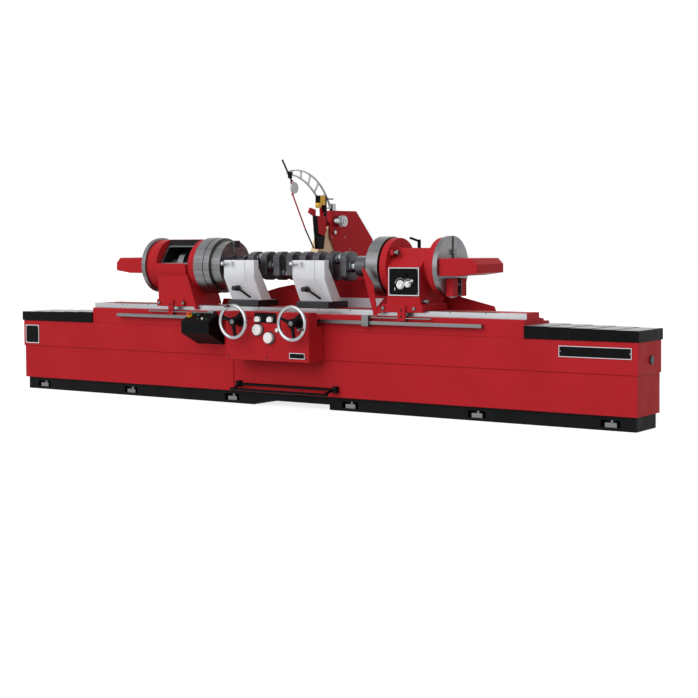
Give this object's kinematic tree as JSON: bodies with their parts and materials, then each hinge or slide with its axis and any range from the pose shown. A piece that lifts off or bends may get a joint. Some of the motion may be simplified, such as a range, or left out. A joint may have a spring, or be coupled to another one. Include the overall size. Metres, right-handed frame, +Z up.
{
  "type": "crankshaft grinding machine",
  "caption": "Long-bed crankshaft grinder: red bed and sliding table with chuck heads, steady rests, a crankshaft, a wheelhead and a gauge boom.",
  "frame": {"origin": "centre of the footprint on the floor, under the middle of the overall box", "axes": "+X to the right along the bed, +Y from the operator towards the wheelhead at the rear, +Z up"},
  "size_m": [6.016, 2.04, 1.9651],
  "materials": {
    "red_paint": "semi-gloss",
    "dark_plinth": "satin",
    "black_paint": "satin",
    "grey_steady": "satin",
    "steel": "ground",
    "chrome_wheel": "polished",
    "wheel_grit": "matt abrasive",
    "white_plastic": "gloss",
    "white_sheet": "gloss",
    "red_plastic": "gloss",
    "green_plastic": "gloss",
    "teal_plastic": "gloss",
    "boom_silver": "satin"
  },
  "bodies": {
    "bed": {"bed_casting": "red_paint", "bed_plinth": "dark_plinth", "levelling_feet": "steel", "guide_ways": "steel", "rear_bed": "red_paint", "apron_box": "red_paint", "apron_panel": "black_paint", "blank_plates": "black_paint", "control_desk": "black_paint", "splash_guards": "red_paint", "drip_plate": "white_sheet", "foot_bar_brackets": "dark_plinth"},
    "foot_bar": {"foot_bar": "black_paint"},
    "table": {"table_casting": "red_paint", "table_rail": "steel", "trip_bar": "steel", "left_way_cover": "black_paint", "right_way_cover": "black_paint"},
    "left_trip_dog": {"left_trip_dog": "steel"},
    "right_trip_dog": {"right_trip_dog": "steel"},
    "left_head": {"left_head_casting": "red_paint", "left_head_fittings": "steel"},
    "left_spindle": {"left_spindle": "steel", "left_chuck": "steel", "left_counterweight_arm": "red_paint", "crankshaft": "steel"},
    "right_head": {"right_head_casting": "red_paint", "right_head_fittings": "steel", "control_plate": "black_paint", "chuck_guard": "red_paint"},
    "index_plunger": {"index_plunger": "steel"},
    "head_clamp_lever": {"head_clamp_lever": "black_paint"},
    "speed_dial": {"speed_dial": "white_plastic"},
    "selector_lever": {"selector_lever": "white_plastic"},
    "right_spindle": {"right_spindle": "steel", "right_chuck": "steel", "right_counterweight_arm": "red_paint"},
    "left_steady": {"left_steady": "grey_steady"},
    "left_steady_knob": {"left_steady_knob": "steel"},
    "left_steady_lever": {"left_steady_lever": "steel"},
    "right_steady": {"right_steady": "grey_steady"},
    "right_steady_knob": {"right_steady_knob": "steel"},
    "right_steady_lever": {"right_steady_lever": "steel"},
    "wheelhead": {"wheelhead_casting": "red_paint", "wheel_guard": "red_paint", "guard_fittings": "dark_plinth"},
    "grinding_wheel": {"grinding_wheel": "wheel_grit", "wheel_spindle": "steel"},
    "gauge_boom": {"gauge_boom": "boom_silver", "gauge_fittings": "red_paint"},
    "traverse_handwheel": {"traverse_handwheel": "chrome_wheel"},
    "infeed_handwheel": {"infeed_handwheel": "chrome_wheel"},
    "upper_round_knob": {"upper_round_knob": "white_plastic"},
    "lower_round_knob": {"lower_round_knob": "white_plastic"},
    "left_panel_knob": {"left_panel_knob": "white_plastic"},
    "right_panel_knob": {"right_panel_knob": "white_plastic"},
    "emergency_stop": {"emergency_stop": "red_plastic"},
    "start_button": {"start_button": "green_plastic"},
    "stop_button": {"stop_button": "teal_plastic"},
    "jog_button": {"jog_button": "white_plastic"}
  },
  "joints": [
    {"name": "table_traverse", "type": "slide", "parent": "bed", "child": "table", "axis": [1, 0, 0], "range_m": [-0.7, 0.5]},
    {"name": "left_head_slide", "type": "slide", "parent": "table", "child": "left_head", "axis": [1, 0, 0], "range_m": [-0.6, 0]},
    {"name": "right_head_slide", "type": "slide", "parent": "table", "child": "right_head", "axis": [1, 0, 0], "range_m": [0, 0.6]},
    {"name": "left_spindle_turn", "type": "hinge", "parent": "left_head", "child": "left_spindle", "pos_m": [-1.2, -0.435, 1.121], "axis": [1, 0, 0], "continuous": true},
    {"name": "right_spindle_turn", "type": "hinge", "parent": "right_head", "child": "right_spindle", "pos_m": [1.2, -0.435, 1.121], "axis": [1, 0, 0], "continuous": true},
    {"name": "left_steady_slide", "type": "slide", "parent": "table", "child": "left_steady", "axis": [1, 0, 0], "range_m": [-0.04, 0.15]},
    {"name": "right_steady_slide", "type": "slide", "parent": "table", "child": "right_steady", "axis": [1, 0, 0], "range_m": [-0.15, 0.3]},
    {"name": "left_steady_knob_turn", "type": "hinge", "parent": "left_steady", "child": "left_steady_knob", "pos_m": [-0.485, -0.635, 0.943], "axis": [0, 1, 0], "range_deg": [-40, 40]},
    {"name": "right_steady_knob_turn", "type": "hinge", "parent": "right_steady", "child": "right_steady_knob", "pos_m": [0.213, -0.635, 0.943], "axis": [0, 1, 0], "range_deg": [-40, 40]},
    {"name": "left_steady_pin_pull", "type": "slide", "parent": "left_steady", "child": "left_steady_lever", "axis": [-1, 0, 0], "range_m": [0, 0.012]},
    {"name": "right_steady_pin_pull", "type": "slide", "parent": "right_steady", "child": "right_steady_lever", "axis": [-1, 0, 0], "range_m": [0, 0.012]},
    {"name": "left_dog_slide", "type": "slide", "parent": "table", "child": "left_trip_dog", "axis": [1, 0, 0], "range_m": [-0.25, 0.2]},
    {"name": "right_dog_slide", "type": "slide", "parent": "table", "child": "right_trip_dog", "axis": [1, 0, 0], "range_m": [-0.2, 0.15]},
    {"name": "index_plunger_pull", "type": "slide", "parent": "right_head", "child": "index_plunger", "axis": [1, 0, 0], "range_m": [0, 0.03], "stiffness_N_per_m": 150},
    {"name": "head_clamp_turn", "type": "hinge", "parent": "right_head", "child": "head_clamp_lever", "pos_m": [1.124, -0.435, 1.29], "axis": [0, 0, 1], "range_deg": [-60, 60]},
    {"name": "speed_dial_turn", "type": "hinge", "parent": "right_head", "child": "speed_dial", "pos_m": [1.088, -0.655, 0.988], "axis": [0, 1, 0], "range_deg": [-150, 150]},
    {"name": "selector_lever_turn", "type": "hinge", "parent": "right_head", "child": "selector_lever", "pos_m": [1.156, -0.655, 0.993], "axis": [0, 1, 0], "range_deg": [-45, 45]},
    {"name": "wheelhead_infeed", "type": "slide", "parent": "bed", "child": "wheelhead", "axis": [0, -1, 0], "range_m": [-0.25, 0.14]},
    {"name": "grinding_wheel_spin", "type": "hinge", "parent": "wheelhead", "child": "grinding_wheel", "pos_m": [-0.072, 0.205, 1.121], "axis": [1, 0, 0], "continuous": true},
    {"name": "gauge_boom_swing", "type": "hinge", "parent": "wheelhead", "child": "gauge_boom", "pos_m": [-0.025, 0.045, 1.604], "axis": [-1, 0, 0], "range_deg": [0, 60]},
    {"name": "traverse_handwheel_turn", "type": "hinge", "parent": "bed", "child": "traverse_handwheel", "pos_m": [-0.297, -0.935, 0.69], "axis": [0, 1, 0], "range_deg": [-2600, 1900]},
    {"name": "infeed_handwheel_turn", "type": "hinge", "parent": "bed", "child": "infeed_handwheel", "pos_m": [0.284, -0.935, 0.69], "axis": [0, 1, 0], "range_deg": [-1850, 1050]},
    {"name": "upper_round_knob_turn", "type": "hinge", "parent": "bed", "child": "upper_round_knob", "pos_m": [-0.116, -0.835, 0.626], "axis": [0, 1, 0], "range_deg": [-150, 150]},
    {"name": "lower_round_knob_turn", "type": "hinge", "parent": "bed", "child": "lower_round_knob", "pos_m": [-0.005, -0.835, 0.566], "axis": [0, 1, 0], "range_deg": [-150, 150]},
    {"name": "left_panel_knob_turn", "type": "hinge", "parent": "bed", "child": "left_panel_knob", "pos_m": [-0.12, -0.835, 0.705], "axis": [0, 1, 0], "range_deg": [-60, 60]},
    {"name": "right_panel_knob_turn", "type": "hinge", "parent": "bed", "child": "right_panel_knob", "pos_m": [0.003, -0.835, 0.705], "axis": [0, 1, 0], "range_deg": [-60, 60]},
    {"name": "emergency_stop_press", "type": "slide", "parent": "bed", "child": "emergency_stop", "axis": [0, -0.459, 0.8884], "range_m": [-0.004, 0], "stiffness_N_per_m": 600},
    {"name": "start_button_press", "type": "slide", "parent": "bed", "child": "start_button", "axis": [0, -0.459, 0.8884], "range_m": [-0.004, 0], "stiffness_N_per_m": 600},
    {"name": "stop_button_press", "type": "slide", "parent": "bed", "child": "stop_button", "axis": [0, -0.459, 0.8884], "range_m": [-0.004, 0], "stiffness_N_per_m": 600},
    {"name": "jog_button_press", "type": "slide", "parent": "bed", "child": "jog_button", "axis": [0, -0.459, 0.8884], "range_m": [-0.004, 0], "stiffness_N_per_m": 600},
    {"name": "foot_bar_press", "type": "hinge", "parent": "bed", "child": "foot_bar", "pos_m": [0, -0.655, 0.168], "axis": [1, 0, 0], "range_deg": [-5, 10]}
  ],
  "couplings": [
    {"joint": "right_spindle_turn", "follows": "left_spindle_turn", "ratio": 1},
    {"joint": "traverse_handwheel_turn", "follows": "table_traverse", "rad_per_m": 62.832},
    {"joint": "infeed_handwheel_turn", "follows": "wheelhead_infeed", "rad_per_m": 125.66}
  ]
}
